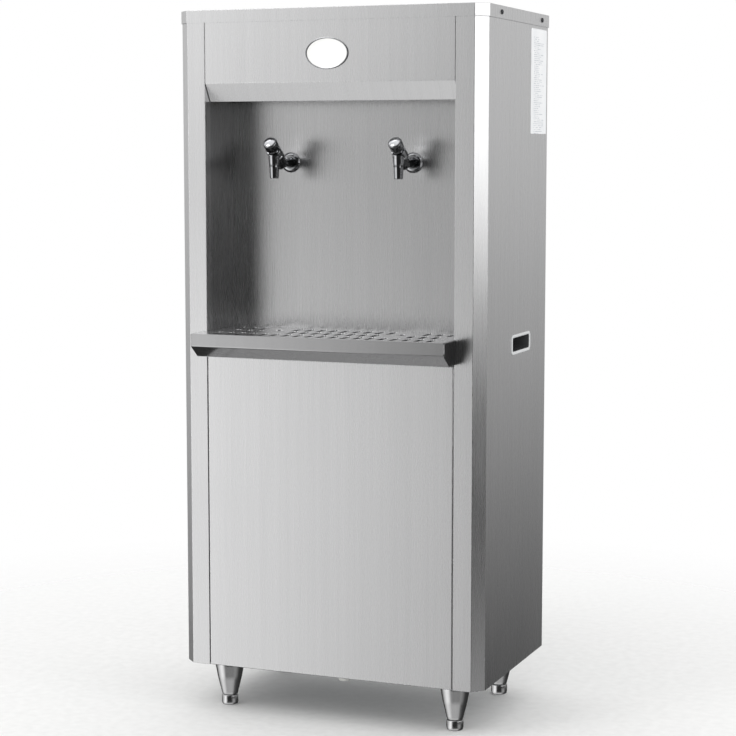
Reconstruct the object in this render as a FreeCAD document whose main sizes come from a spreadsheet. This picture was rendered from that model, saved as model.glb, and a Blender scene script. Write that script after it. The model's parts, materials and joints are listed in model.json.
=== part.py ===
"""Two-tap floor-standing drinking-water cooler in folded stainless sheet.

Millimetres, +Z up, +X to the right of someone facing the taps, who stands on the -Y side.
The origin is on the floor under the middle of the overall box.  Every size is a cell of the
"Sizes" sheet, and pieces that meet take their places from the same cells.
"""
import FreeCAD, Part
import math
import os
import re

import Sketcher

V = FreeCAD.Vector
doc = FreeCAD.newDocument("water_cooler")

# ---------------------------------------------------------------- driving dimensions
DIMENSIONS = {
    # cabinet
    "cabinet_width": 540, "cabinet_depth": 338, "cabinet_height": 1100,
    "corner_chamfer": 18, "sheet": 1.2, "lap": 0.3, "panel_gap": 0.8,
    "lid_flange": 20.5, "opening_width": 438, "return_depth": 20, "rear_return": 16,
    "fascia_height": 119, "lip_depth": 19, "lip_drop": 30, "lip_hem": 12,
    "alcove_depth": 105, "front_fold": 18, "rear_reach": 24,
    "base_sheet": 2, "base_flange": 25,
    # drip tray and grille
    "tray_drop": 529, "tray_depth": 40, "tray_reach": 54, "tray_width": 444,
    "tray_face": 21, "tray_bevel": 24, "tray_wall": 1.5, "tray_ledge": 6,
    "grille_sheet": 2, "slot_length": 40, "slot_width": 9, "slot_pitch": 21,
    "slot_rows": 3, "slot_row_gap": 8, "finger_hole": 9, "finger_hole_offset": 52,
    # legs
    "leg_height": 80, "leg_top": 25.4, "leg_tip": 13.5, "leg_cone": 62, "leg_inset_x": 64,
    "leg_inset_y": 52, "foot_radius": 14.2, "stud_radius": 5, "foot_travel": 20,
    "foot_thread": 24,
    # taps
    "tap_spacing": 220, "tap_drop": 249, "tap_reach": 47, "tap_tilt": 49, "shank_radius": 8.5,
    "shank_tail": 34, "chamber_radius": 12, "chamber_length": 31, "neck_radius": 8.6,
    "button_radius": 11.6, "button_length": 15, "button_travel": 5, "nozzle_back": 21,
    "nozzle_drop": 22, "outlet_drop": 4, "nozzle_radius": 7.3,
    "rosette_radius": 17, "rosette_thick": 4,
    # side handles and plates
    "handle_width": 102, "handle_rise": 33, "handle_drop": 549, "handle_set": 196,
    "handle_pocket": 32, "handle_rim": 5, "handle_wall": 1.6, "rim_proud": 1.4,
    "badge_major": 37.5, "badge_minor": 25.4, "badge_drop": 73.5, "badge_thick": 1,
    "label_thick": 0.4, "label_width": 88, "label_rise": 175, "label_drop": 201, "label_inset": 8,
    # screws and nuts
    "screw_radius": 1.9, "screw_head": 4, "screw_head_rise": 2.2, "screw_length": 9,
    "lid_screw_front": 77.5, "lid_screw_rear": 41.5, "nut_rise": 7, "lock_nut_rise": 8,
    # tank
    "tank_rise": 230, "tank_wall": 1.5, "tank_drop": 298, "tank_clearance": 6.75,
    "coil_tube": 4.8, "coil_turns": 5, "coil_pitch": 16, "foam_wall": 12,
    "float_radius": 26, "float_arm": 62, "pivot_radius": 2, "pivot_drop": 44,
    "float_droop": 20, "feed_radius": 6, "feed_bend": 18,
    # cooling set
    "pot_radius": 72, "pot_wall": 8, "pot_rise": 150, "mount_rise": 16, "pot_side": 118,
    "pot_back": 205, "fan_radius": 88, "fan_side": 112, "fan_blades": 5,
    "core_width": 210, "core_rise": 210, "core_depth": 36, "core_lift": 12, "core_gap": 14,
    "motor_radius": 30, "motor_length": 42, "fan_shaft": 4, "fan_hub": 16,
    "louvre_side": 112, "louvre_width": 150, "louvre_rise": 6, "louvre_pitch": 18,
    "louvre_rows": 12, "louvre_start": 70,
    # services on the back
    "inlet_radius": 10.5, "inlet_side": 150, "inlet_drop": 60, "inlet_flange": 3,
    "drain_radius": 10, "drain_tail": 20, "drain_back": 34,
    "control_level": 740, "knob_side": 150, "knob_radius": 17, "shaft_radius": 3,
    "switch_side": 195, "switch_width": 24, "switch_rise": 32, "rocker_tilt": 8,
    "gland_side": 190, "gland_lift": 40, "gland_radius": 9, "gland_bore": 4,
}

# Levels of what hangs from the top, and the round tank that fills the space behind the alcove.
DERIVED = {
    "tray_level": "leg_height + cabinet_height - tray_drop",
    "tap_level": "leg_height + cabinet_height - tap_drop",
    "handle_level": "leg_height + cabinet_height - handle_drop",
    "badge_level": "leg_height + cabinet_height - badge_drop",
    "label_level": "leg_height + cabinet_height - label_drop",
    "tank_level": "leg_height + cabinet_height - tank_drop",
    "tank_space": "cabinet_depth - alcove_depth - 4 * sheet - lap",
    "tank_radius": "tank_space / 2 - foam_wall - 2 * coil_tube - 2 * lap - tank_clearance",
}

sizes = doc.addObject("Spreadsheet::Sheet", "Sizes")
for row, (alias, size) in enumerate((DIMENSIONS | DERIVED).items(), start=1):
    sizes.set(f"A{row}", alias.replace("_", " "))
    sizes.set(f"B{row}", f"={size}")
    sizes.setAlias(f"B{row}", alias)
doc.recompute()

# Places that several pieces share, as expressions of the cells.
FRONT = "(tray_reach - cabinet_depth - rear_reach) / 2"
TOP = "(leg_height + cabinet_height)"
SKIN = "(sheet + lap)"
HALF = f"(cabinet_width / 2 - {SKIN})"
FACE = f"({FRONT} + {SKIN})"
REAR = f"({FRONT} + cabinet_depth - {SKIN})"
OPENING = "(opening_width / 2)"
LIP_LEVEL = f"({TOP} - fascia_height - lip_drop)"
CEILING = f"({LIP_LEVEL} + sheet)"
TRAY_FLOOR = "(tray_level - tray_depth)"
ALCOVE_BACK = f"({FRONT} + alcove_depth)"
BACK_INNER = f"({REAR} - 2 * sheet)"
BASE_TOP = "(leg_height + base_sheet)"
OUTER = f"({REAR} - sheet)"
TANK_Y = f"({ALCOVE_BACK} + sheet + tank_space / 2)"
TANK_TOP = "(tank_level + tank_rise)"
TAP_Y = f"({ALCOVE_BACK} - tap_reach)"
DRAIN_Y = f"({ALCOVE_BACK} - drain_back)"
HANDLE_Y = f"({FRONT} + handle_set)"
INLET_Z = f"({TOP} - inlet_drop)"
GLAND_Z = "(leg_height + gland_lift)"
MITRE = "sheet * tan(22.5)"
PRESS = "0.05"

NAMES = DIMENSIONS.keys() | DERIVED.keys()
pieces = []


# ---------------------------------------------------------------- building helpers
def bound(text):
    """The expression with each size's name pointed at the sheet."""
    return re.sub(r"[a-z][a-z_]+", lambda m: "Sizes." + m[0] if m[0] in NAMES else m[0], text)


def number(text):
    """The value of an expression now."""
    value = sizes.evalExpression(bound(text))
    return float(getattr(value, "Value", value))


def place(thing, at, axis=None, angle="0"):
    """Puts a thing at a point given by three expressions, turned about an axis."""
    if axis is not None:
        turn = FreeCAD.Rotation(V(*axis), number(angle))
        thing.Placement = FreeCAD.Placement(V(0, 0, 0), turn)
    for letter, text in zip("xyz", at):
        thing.setExpression(f".Placement.Base.{letter}", bound(text))
    return thing


def piece(label, thing):
    """Marks a thing as one sub-part of the cooler."""
    thing.Label = label
    pieces.append(thing)
    return thing


def block(corner, size):
    """A block from its lowest corner."""
    thing = doc.addObject("Part::Box", "block")
    for side, text in zip(("Length", "Width", "Height"), size):
        thing.setExpression(side, bound(text))
    return place(thing, corner)


def slab(x_half, y_range, z_range):
    """A block that is symmetric about the cooler's middle plane."""
    corner = (f"-({x_half})", y_range[0], z_range[0])
    size = (f"2 * ({x_half})", f"{y_range[1]} - ({y_range[0]})", f"{z_range[1]} - ({z_range[0]})")
    return block(corner, size)


def centred_block(middle, y_start_and_depth, size):
    """A block centred on an (x, z) point, from a y and through a depth."""
    corner = (f"{middle[0]} - ({size[0]}) / 2", y_start_and_depth[0], f"{middle[1]} - ({size[1]}) / 2")
    return block(corner, (size[0], y_start_and_depth[1], size[1]))


TURNS = {"x": ((0, 1, 0), "90"), "y": ((1, 0, 0), "-90"), "z": (None, "0")}


def rod(start, length, radius, along="z"):
    """A round bar that runs along one axis from its start."""
    thing = doc.addObject("Part::Cylinder", "rod")
    thing.setExpression("Radius", bound(radius))
    thing.setExpression("Height", bound(length))
    return place(thing, start, *TURNS[along])


def cut(base, *tools):
    thing = doc.addObject("Part::Cut", "cut")
    thing.Base = base
    thing.Tool = tools[0] if len(tools) == 1 else gather(*tools)
    return thing


def gather(*parts):
    """Separate solids kept together."""
    thing = doc.addObject("Part::Compound", "group")
    thing.Links = list(parts)
    return thing


def fuse(*parts):
    thing = doc.addObject("Part::MultiFuse", "joined")
    thing.Shapes = list(parts)
    thing.Refine = True
    return thing


def mirrored(source):
    """The same thing on the other side of the cooler's middle plane."""
    thing = doc.addObject("Part::Mirroring", "mirrored")
    thing.Source = source
    thing.Normal = V(1, 0, 0)
    return thing


def origin_plane(body, role):
    return next(plane for plane in body.Origin.OriginFeatures if plane.Role == role)


def outline(body, role, points, offset="0"):
    """A closed sketch through points whose two coordinates are expressions."""
    sketch = body.newObject("Sketcher::SketchObject", "outline")
    sketch.AttachmentSupport = [(origin_plane(body, role), "")]
    sketch.MapMode = "FlatFace"
    sketch.setExpression(".AttachmentOffset.Base.z", bound(offset))
    corners = [V(number(a), number(b), 0) for a, b in points]
    count = len(corners)
    for index in range(count):
        sketch.addGeometry(Part.LineSegment(corners[index], corners[(index + 1) % count]), False)
    for index in range(count):
        sketch.addConstraint(Sketcher.Constraint("Coincident", index, 2, (index + 1) % count, 1))
    for index, (texts, corner) in enumerate(zip(points, corners)):
        for kind, text, value in zip(("DistanceX", "DistanceY"), texts, (corner.x, corner.y)):
            number_of = sketch.addConstraint(Sketcher.Constraint(kind, -1, 1, index, 1, value))
            sketch.setExpression(f"Constraints[{number_of}]", bound(text))
    return sketch


def new_body():
    return doc.addObject("PartDesign::Body", "body")


def padded(role, points, length, offset="0", body=None, reverse=False):
    """A body, or one more layer of it, raised from an outline."""
    body = body or new_body()
    pad = body.newObject("PartDesign::Pad", "pad")
    pad.Profile = outline(body, role, points, offset)
    pad.Reversed = reverse
    pad.setExpression("Length", bound(length))
    doc.recompute()
    return body


def pocketed(body, role, points, length, offset="0", reverse=False):
    """The body with a pocket sunk from an outline."""
    before = body.Shape.Volume
    pocket = body.newObject("PartDesign::Pocket", "pocket")
    pocket.Profile = outline(body, role, points, offset)
    pocket.Reversed = reverse
    pocket.setExpression("Length", bound(length))
    doc.recompute()
    if body.Shape.Volume >= before:
        raise RuntimeError("a pocket removed nothing")
    return body


def turned(points):
    """A body turned about its own Z axis from (radius, height) points."""
    body = new_body()
    turn = body.newObject("PartDesign::Revolution", "turn")
    sketch = outline(body, "XZ_Plane", points)
    turn.Profile = sketch
    turn.ReferenceAxis = (sketch, ["V_Axis"])
    turn.Angle = 360
    doc.recompute()
    return body


def shaped(shape):
    """A feature whose shape is worked out here from the sheet's values."""
    thing = doc.addObject("Part::Feature", "shape")
    thing.Shape = shape
    return thing


def bent_tube(corners, radius, bend):
    """A solid tube along straight runs joined by arcs of one bend radius."""
    points = [V(*corner) for corner in corners]
    edges = []
    start = points[0]
    for before, corner, after in zip(points, points[1:], points[2:]):
        inward = (before - corner).normalize()
        outward = (after - corner).normalize()
        reach = bend * math.tan((math.pi - inward.getAngle(outward)) / 2)
        first = corner + inward * reach
        last = corner + outward * reach
        middle = (inward + outward).normalize()
        centre = corner + middle * math.hypot(bend, reach)
        edges.append(Part.LineSegment(start, first).toShape())
        edges.append(Part.Arc(first, centre - middle * bend, last).toShape())
        start = last
    edges.append(Part.LineSegment(start, points[-1]).toShape())
    path = Part.Wire(edges)
    direction = points[1] - points[0]
    profile = Part.Wire(Part.makeCircle(radius, points[0], direction))
    return path.makePipeShell([profile], True, True)


# ---------------------------------------------------------------- cabinet sheets
def screw(at, direction):
    """A pan-head screw whose head's seat is at the point, its shank along the direction."""
    x, y, z = at
    step = {"x": 0, "y": 1, "z": 2}[direction[-1]]
    back = list(at)
    if direction[0] == "-":
        ahead = list(at)
        ahead[step] = f"{at[step]} - screw_length"
        return fuse(rod(back, "screw_head_rise", "screw_head", direction[-1]),
                    rod(ahead, "screw_length", "screw_radius", direction[-1]))
    back[step] = f"{at[step]} - screw_head_rise"
    return fuse(rod(back, "screw_head_rise", "screw_head", direction[-1]),
                rod((x, y, z), "screw_length", "screw_radius", direction[-1]))


SCREW_HOLE = "(screw_radius + lap)"
LID_SCREW_Z = f"({TOP} - lid_flange / 2)"
LID_SCREW_Y = [f"({FRONT} + lid_screw_front)", f"({FRONT} + cabinet_depth - lid_screw_rear)"]
BACK_SCREW_X = f"({HALF} - rear_return / 2)"
BACK_SCREW_SHARES = (0.06, 0.35, 0.64, 0.93)
BACK_SCREW_Z = [f"(leg_height + cabinet_height * {share})" for share in BACK_SCREW_SHARES]


def lid_outline(inset):
    """Half outline points of the lid, moved inwards by an inset."""
    side = f"(cabinet_width / 2 - {inset})"
    front = f"({FRONT} + {inset})"
    rear = f"({FRONT} + cabinet_depth - {inset})"
    chamfer = f"(corner_chamfer + (2 - sqrt(2)) * ({SKIN} - {inset}))"
    return [(f"-{side} + {chamfer}", front), (f"{side} - {chamfer}", front),
            (side, f"{front} + {chamfer}"), (side, rear),
            (f"-{side}", rear), (f"-{side}", f"{front} + {chamfer}")]


def top_lid():
    body = padded("XY_Plane", lid_outline("0"), "lid_flange", f"{TOP} - lid_flange")
    pocketed(body, "XY_Plane", lid_outline("sheet"), "lid_flange - sheet",
             f"{TOP} - lid_flange", reverse=True)
    width = "(cabinet_width + 2)"
    holes = [rod((f"-{width} / 2", y, LID_SCREW_Z), width, SCREW_HOLE, "x") for y in LID_SCREW_Y]
    piece("top_lid", cut(body, *holes))


def side_panel():
    """Rear return, side, corner chamfer, front strip and inner return, folded from one sheet."""
    inner = f"({HALF} - sheet)"
    points = [
        (OPENING, f"{FACE} + return_depth"), (OPENING, FACE),
        (f"{HALF} - corner_chamfer", FACE), (HALF, f"{FACE} + corner_chamfer"),
        (HALF, REAR), (f"{HALF} - rear_return", REAR),
        (f"{HALF} - rear_return", f"{REAR} - sheet"), (inner, f"{REAR} - sheet"),
        (inner, f"{FACE} + corner_chamfer + {MITRE}"),
        (f"{HALF} - corner_chamfer - {MITRE}", f"{FACE} + sheet"),
        (f"{OPENING} + sheet", f"{FACE} + sheet"),
        (f"{OPENING} + sheet", f"{FACE} + return_depth"),
    ]
    body = padded("XY_Plane", points, "cabinet_height - sheet", "leg_height")
    window = block((f"{HALF} - 2 * sheet", f"{HANDLE_Y} - handle_width / 2 + handle_rim - lap",
                    "handle_level - handle_rise / 2 + handle_rim - lap"),
                   ("4 * sheet", "handle_width - 2 * handle_rim + 2 * lap",
                    "handle_rise - 2 * handle_rim + 2 * lap"))
    holes = [rod((f"{HALF} - 2 * sheet", y, LID_SCREW_Z), "4 * sheet", SCREW_HOLE, "x")
             for y in LID_SCREW_Y]
    holes += [rod((BACK_SCREW_X, f"{REAR} - 3 * sheet", z), "6 * sheet", SCREW_HOLE, "y")
              for z in BACK_SCREW_Z]
    return cut(body, window, *holes)


def side_panels():
    piece("right_side_panel", side_panel())
    piece("left_side_panel", mirrored(side_panel()))


def upper_fascia():
    lean = "atan(lip_depth / lip_drop)"
    crease = f"({TOP} - fascia_height)"
    points = [
        (FACE, f"{TOP} - sheet"), (FACE, crease), (f"{FACE} + lip_depth", LIP_LEVEL),
        (f"{FACE} + lip_depth + lip_hem", LIP_LEVEL), (f"{FACE} + lip_depth + lip_hem", CEILING),
        (f"{FACE} + lip_depth + sheet * tan(45 deg - {lean} / 2)", CEILING),
        (f"{FACE} + sheet", f"{crease} + sheet * tan({lean} / 2)"),
        (f"{FACE} + sheet", f"{TOP} - sheet"),
    ]
    half = f"({OPENING} - panel_gap)"
    piece("upper_fascia", padded("YZ_Plane", points, f"2 * {half}", f"-{half}"))


def oval_badge():
    ellipse = doc.addObject("Part::Ellipse", "ellipse")
    ellipse.setExpression("MajorRadius", bound("badge_major"))
    ellipse.setExpression("MinorRadius", bound("badge_minor"))
    place(ellipse, ("0", FACE, "badge_level"), (1, 0, 0), "90")
    plate = doc.addObject("Part::Extrusion", "plate")
    plate.Base = ellipse
    plate.DirMode = "Normal"
    plate.Solid = True
    plate.Reversed = True
    plate.setExpression("LengthFwd", bound("badge_thick"))
    piece("oval_badge", plate)


def alcove_liner():
    half = f"({OPENING} + sheet)"
    start = f"{FACE} + return_depth"
    outer = slab(half, (start, f"{ALCOVE_BACK} + sheet"),
                 (f"{TRAY_FLOOR} - sheet", f"{CEILING} + sheet"))
    inner = slab(OPENING, (f"{start} - sheet", ALCOVE_BACK), (TRAY_FLOOR, CEILING))
    holes = [rod((f"{side} * tap_spacing / 2", f"{ALCOVE_BACK} - sheet", "tap_level"),
                 "3 * sheet", "shank_radius + lap", "y") for side in (-1, 1)]
    holes.append(rod(("0", DRAIN_Y, f"{TRAY_FLOOR} - 2 * sheet"), "4 * sheet", "drain_radius + lap"))
    piece("alcove_liner", cut(outer, inner, *holes))


def lower_front_panel():
    half = f"({OPENING} - panel_gap)"
    top = f"{TRAY_FLOOR} - sheet - panel_gap"
    outer = slab(half, (FACE, f"{FACE} + front_fold"), ("leg_height", top))
    inner = slab(f"{half} - sheet", (f"{FACE} + sheet", f"{FACE} + front_fold + sheet"),
                 ("leg_height + sheet", f"{top} - sheet"))
    piece("lower_front_panel", cut(outer, inner))


DRAIN_SLEEVE = "(drain_radius + 2)"
INLET_STEM = "(inlet_radius - 1)"
LEG_X = "(cabinet_width / 2 - leg_inset_x)"
LEG_Y = [f"({FRONT} + leg_inset_y)", f"({FRONT} + cabinet_depth - leg_inset_y)"]


def base_pan():
    half = f"({HALF} - sheet - lap)"
    start, end = f"{FACE} + return_depth + lap", f"{BACK_INNER} - lap"
    outer = slab(half, (start, end), ("leg_height", "leg_height + base_flange"))
    inner = slab(f"{half} - base_sheet", (f"{start} + base_sheet", f"{end} - base_sheet"),
                 (BASE_TOP, "leg_height + base_flange + 1"))
    holes = [rod((f"{side} * {LEG_X}", y, "leg_height - 1"), "base_sheet + 2", "stud_radius + lap")
             for side in (-1, 1) for y in LEG_Y]
    holes.append(rod(("0", DRAIN_Y, "leg_height - 1"), "base_sheet + 2", f"{DRAIN_SLEEVE} + lap"))
    piece("base_pan", cut(outer, inner, *holes))


def back_panel():
    """The rear sheet, with rows of air slots level with the condenser."""
    plate = slab(f"({HALF} - sheet - lap)", (BACK_INNER, f"{REAR} - sheet"),
                 ("leg_height", f"{TOP} - sheet"))
    through = (f"{BACK_INNER} - sheet", "3 * sheet")
    cuts = [rod((f"{side} * {BACK_SCREW_X}", through[0], z), through[1], SCREW_HOLE, "y")
            for side in (-1, 1) for z in BACK_SCREW_Z]
    for column in (-1, 1):
        for row in range(int(number("louvre_rows"))):
            corner = (f"{column} * louvre_side - louvre_width / 2", through[0],
                      f"leg_height + louvre_start + {row} * louvre_pitch")
            cuts.append(block(corner, ("louvre_width", through[1], "louvre_rise")))
    cuts.append(rod(("inlet_side", through[0], INLET_Z), through[1], f"{INLET_STEM} + lap", "y"))
    cuts.append(rod(("knob_side", through[0], "control_level"), through[1], "shaft_radius + 2", "y"))
    cuts.append(rod(("gland_side", through[0], GLAND_Z), through[1], "gland_radius + lap", "y"))
    cuts.append(centred_block(("switch_side", "control_level"), through,
                              ("switch_width - 4", "switch_rise - 4")))
    piece("back_panel", cut(plate, *cuts))


def cabinet_screws():
    """Four lid screws in the side flanges and eight in the rear returns."""
    screws = []
    for y in LID_SCREW_Y:
        screws.append(screw(("cabinet_width / 2", y, LID_SCREW_Z), "-x"))
        screws.append(screw(("-cabinet_width / 2", y, LID_SCREW_Z), "+x"))
    for side in (-1, 1):
        for z in BACK_SCREW_Z:
            screws.append(screw((f"{side} * {BACK_SCREW_X}", REAR, z), "-y"))
    piece("cabinet_screws", gather(*screws))


def tank_shelf():
    half = f"({HALF} - sheet - lap)"
    start, end = f"{ALCOVE_BACK} + sheet", BACK_INNER
    outer = slab(half, (start, end), ("tank_level - base_flange", "tank_level"))
    inner = slab(f"{half} - sheet", (f"{start} + sheet", f"{end} - sheet"),
                 ("tank_level - base_flange - 1", "tank_level - sheet"))
    piece("tank_shelf", cut(outer, inner))


# ---------------------------------------------------------------- legs and feet
def legs():
    """Bullet legs with a stud through the base, each with a foot that screws down by its travel."""
    thread = "(foot_travel + foot_thread - leg_cone)"
    for side, side_name in ((-1, "left"), (1, "right")):
        for y, end_name in zip(LEG_Y, ("front", "rear")):
            at = (f"{side} * {LEG_X}", y, "leg_height")
            bore = "(stud_radius + lap)"
            cone = turned([
                (bore, "-leg_cone"), ("leg_tip - 1", "-leg_cone"), ("leg_tip", "1 - leg_cone"),
                ("leg_tip + 0.62 * (leg_top - leg_tip)", "-leg_cone / 2"), ("leg_top", "-6"),
                ("leg_top", "0"), ("stud_radius", "0"), ("stud_radius", "base_sheet + 9"),
                ("0", "base_sheet + 9"), ("0", f"{thread} + 2"), (bore, f"{thread} + 2"),
            ])
            piece(f"leg_{end_name}_{side_name}", place(cone, at))
            foot = turned([
                ("0", "-leg_height"), ("foot_radius - 4", "-leg_height"),
                ("foot_radius - 1", "1.2 - leg_height"), ("foot_radius", "5 - leg_height"),
                ("foot_radius", "-leg_cone - 1.3"), ("foot_radius - 1", "-leg_cone - lap"),
                ("stud_radius", "-leg_cone - lap"), ("stud_radius", thread), ("0", thread),
            ])
            piece(f"foot_{end_name}_{side_name}", place(foot, at))


def hexagon(radius, height):
    """A six-sided bar, for nuts."""
    prism = doc.addObject("Part::Prism", "hexagon")
    prism.Polygon = 6
    prism.setExpression("Circumradius", bound(radius))
    prism.setExpression("Height", bound(height))
    return prism


def leg_nuts():
    nuts = []
    for side in (-1, 1):
        for y in LEG_Y:
            at = (f"{side} * {LEG_X}", y, BASE_TOP)
            prism = place(hexagon("stud_radius * 1.9", "nut_rise"), at)
            nuts.append(cut(prism, rod(at, "nut_rise", f"stud_radius + {PRESS}")))
    piece("leg_nuts", gather(*nuts))


# ---------------------------------------------------------------- drip tray
def tray_profile(inset, floor):
    """Side view of the tray: rear wall, floor, bevel and front face, moved in by an inset."""
    front = f"{FRONT} - tray_reach + {inset}"
    drop = "(tray_depth - tray_face)"
    slope = f"({inset}) * tan(22.5)"
    rear = f"{ALCOVE_BACK} - lap - {inset}"
    return [
        (front, "tray_level"), (front, f"tray_level - tray_face + {slope}"),
        (f"{FRONT} - tray_reach + tray_bevel + {slope}", floor), (rear, floor), (rear, "tray_level"),
    ]


def drip_tray():
    """A folded basin whose front stands out past the columns as a bevelled bullnose."""
    inner_half = f"({OPENING} - lap)"
    floor = TRAY_FLOOR
    body = padded("YZ_Plane", tray_profile("0", floor), f"2 * {inner_half}", f"-{inner_half}")
    apron = [
        (f"{FRONT} - tray_reach", "tray_level"),
        (f"{FRONT} - tray_reach", "tray_level - tray_face"),
        (f"{FRONT} - tray_reach + tray_bevel", floor),
        (f"{FACE} - lap", floor), (f"{FACE} - lap", "tray_level"),
    ]
    padded("YZ_Plane", apron, "tray_width", "-tray_width / 2", body)
    cavity_half = f"({inner_half} - tray_wall)"
    pocketed(body, "YZ_Plane", tray_profile("tray_wall", f"{floor} + tray_wall"),
             f"2 * {cavity_half}", f"-{cavity_half}", reverse=True)
    under = "tray_level - grille_sheet - lap"
    ledge_outer = slab(cavity_half, (f"{FRONT} - tray_reach + tray_wall",
                                     f"{ALCOVE_BACK} - lap - tray_wall"), (f"{under} - 1.5", under))
    ledge_inner = slab(f"{cavity_half} - tray_ledge",
                       (f"{FRONT} - tray_reach + tray_wall + tray_ledge",
                        f"{ALCOVE_BACK} - lap - tray_wall - tray_ledge"),
                       (f"{under} - 3", f"{under} + 3"))
    drain = rod(("0", DRAIN_Y, f"{floor} - 2"), "8", "drain_radius + lap")
    piece("drip_tray", cut(fuse(body, cut(ledge_outer, ledge_inner)), drain))


def slot(x, y):
    """A round-ended slot tool whose length runs front to back, with its middle at (x, y)."""
    low = "tray_level - grille_sheet - 2"
    straight = "(slot_length - slot_width)"
    ends = [rod((x, f"{y} + {sign} * {straight} / 2", low), "grille_sheet + 4", "slot_width / 2")
            for sign in (-1, 1)]
    middle = block((f"{x} - slot_width / 2", f"{y} - {straight} / 2", low),
                   ("slot_width", straight, "grille_sheet + 4"))
    return fuse(middle, *ends)


def drip_grille():
    """A lift-out plate with staggered rows of slots and two finger holes."""
    half = f"({OPENING} - lap - tray_wall - lap)"
    start = f"({FRONT} - tray_reach + tray_wall + lap)"
    end = f"({ALCOVE_BACK} - tray_wall - 2 * lap)"
    plate = slab(half, (start, end), ("tray_level - grille_sheet", "tray_level"))
    row_pitch = "(slot_length + slot_row_gap)"
    middle_y = f"(({start} + {end}) / 2)"
    hole_y = f"({FRONT} + finger_hole_offset)"
    rows = int(number("slot_rows"))
    reach = number(f"{half} - slot_pitch")
    pitch = number("slot_pitch")
    hole_x = number("tap_spacing / 2")
    keep_out = number("finger_hole + slot_width / 2 + 3")
    tools = []
    for row in range(rows):
        shift = 0.5 if row % 2 else 0
        y = f"({middle_y} + ({row} - {(rows - 1) / 2}) * {row_pitch})"
        in_hole_row = abs(number(f"{y} - {hole_y}")) < number("slot_length / 2 + finger_hole")
        for step in range(-int(reach / pitch) - 1, int(reach / pitch) + 1):
            x = (step + shift) * pitch
            if abs(x) > reach or (in_hole_row and abs(abs(x) - hole_x) < keep_out):
                continue
            tools.append(slot(f"{step + shift} * slot_pitch", y))
    for side in (-1, 1):
        tools.append(rod((f"{side} * tap_spacing / 2", hole_y, "tray_level - grille_sheet - 2"),
                         "grille_sheet + 4", "finger_hole"))
    piece("drip_grille", cut(plate, *tools))


def drain_parts():
    """The flanged waste under the tray, and the pipe that ends in a hose spigot under the base."""
    bore = "(drain_radius - 2)"
    seat = f"({TRAY_FLOOR} + tray_wall)"
    waste = turned([
        (bore, "-18"), ("drain_radius", "-18"), ("drain_radius", "0"),
        ("drain_radius + 6", "0"), ("drain_radius + 6", "1.5"), (bore, "1.5"),
    ])
    piece("drain_waste", place(waste, ("0", DRAIN_Y, seat)))
    top = f"({seat} - 18)"
    shoulder = "(leg_height - 2)"
    sleeve = rod(("0", DRAIN_Y, shoulder), f"{top} - {shoulder}", DRAIN_SLEEVE)
    spigot = rod(("0", DRAIN_Y, f"{shoulder} - drain_tail"), "drain_tail + 1", "drain_radius")
    inside = rod(("0", DRAIN_Y, f"{shoulder} - drain_tail - 1"), f"{top} - {shoulder} + drain_tail + 2",
                 bore)
    piece("drain_pipe", cut(fuse(sleeve, spigot), inside))


# ---------------------------------------------------------------- taps
def tap_axis_point(side, along):
    """A point on the leaning chamber's axis, a distance from the shank's front end."""
    return (f"{side} * tap_spacing / 2", f"{TAP_Y} - ({along}) * sin(tap_tilt)",
            f"tap_level + ({along}) * cos(tap_tilt)")


def leaning(thing, side, along):
    """Stands a turned thing on the chamber's axis."""
    return place(thing, tap_axis_point(side, along), (1, 0, 0), "tap_tilt")


CAP_START = "(chamber_length + button_travel + 1)"


def tap_body(side, name):
    """Shank, leaning valve chamber with its collar, and the neck that the button slides on."""
    shank = rod((f"{side} * tap_spacing / 2", TAP_Y, "tap_level"),
                "tap_reach + sheet + shank_tail", "shank_radius", "y")
    chamber = leaning(turned([
        ("0", "-9"), ("chamber_radius - 4", "-9"), ("chamber_radius - 0.8", "-4"),
        ("chamber_radius - 0.8", "12"), ("chamber_radius + 1", "13"), ("chamber_radius + 1", "19"),
        ("chamber_radius", "20"), ("chamber_radius", "chamber_length - 1"),
        ("chamber_radius - 1", "chamber_length"), ("neck_radius", "chamber_length"),
        ("neck_radius", f"{CAP_START} + 6"), ("0", f"{CAP_START} + 6"),
    ]), side, "0")
    outlet = place(turned([
        ("0", "0"), ("nozzle_radius + 1.2", "0"), ("nozzle_radius + 1.6", "3"),
        ("chamber_radius - 2.5", "12"), ("chamber_radius - 2.5", "15"), ("0", "15"),
    ]), (f"{side} * tap_spacing / 2", f"{TAP_Y} - nozzle_back", "tap_level - outlet_drop"))
    piece(f"{name}_tap_body", fuse(shank, chamber, outlet))


def tap_nozzle(side, name):
    """The tapering spout tip, screwed on below the chamber."""
    tip = turned([
        ("nozzle_radius - 1.6", "-nozzle_drop"), ("nozzle_radius - 0.3", "-nozzle_drop"),
        ("nozzle_radius", "1 - nozzle_drop"), ("nozzle_radius + 0.9", "-3"),
        ("nozzle_radius + 0.9", "0"), ("nozzle_radius - 1.6", "0"),
    ])
    piece(f"{name}_tap_nozzle", place(tip, (f"{side} * tap_spacing / 2", f"{TAP_Y} - nozzle_back",
                                            "tap_level - outlet_drop")))


def tap_button(side, name):
    """A hollow cap that slides on the neck, closed by a shallow dome."""
    wall = "(neck_radius + lap)"
    length = "button_length"
    cap = turned([
        (wall, "0"), ("button_radius - 0.6", "0"), ("button_radius", "0.6"),
        ("button_radius", f"{length} - 2.5"), ("button_radius - 0.8", f"{length} - 1"),
        ("button_radius - 2.5", length), ("0", f"{length} + 1.2"),
        ("0", f"{length} - 2"), (wall, f"{length} - 2"),
    ])
    piece(f"{name}_tap_button", leaning(cap, side, CAP_START))


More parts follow.
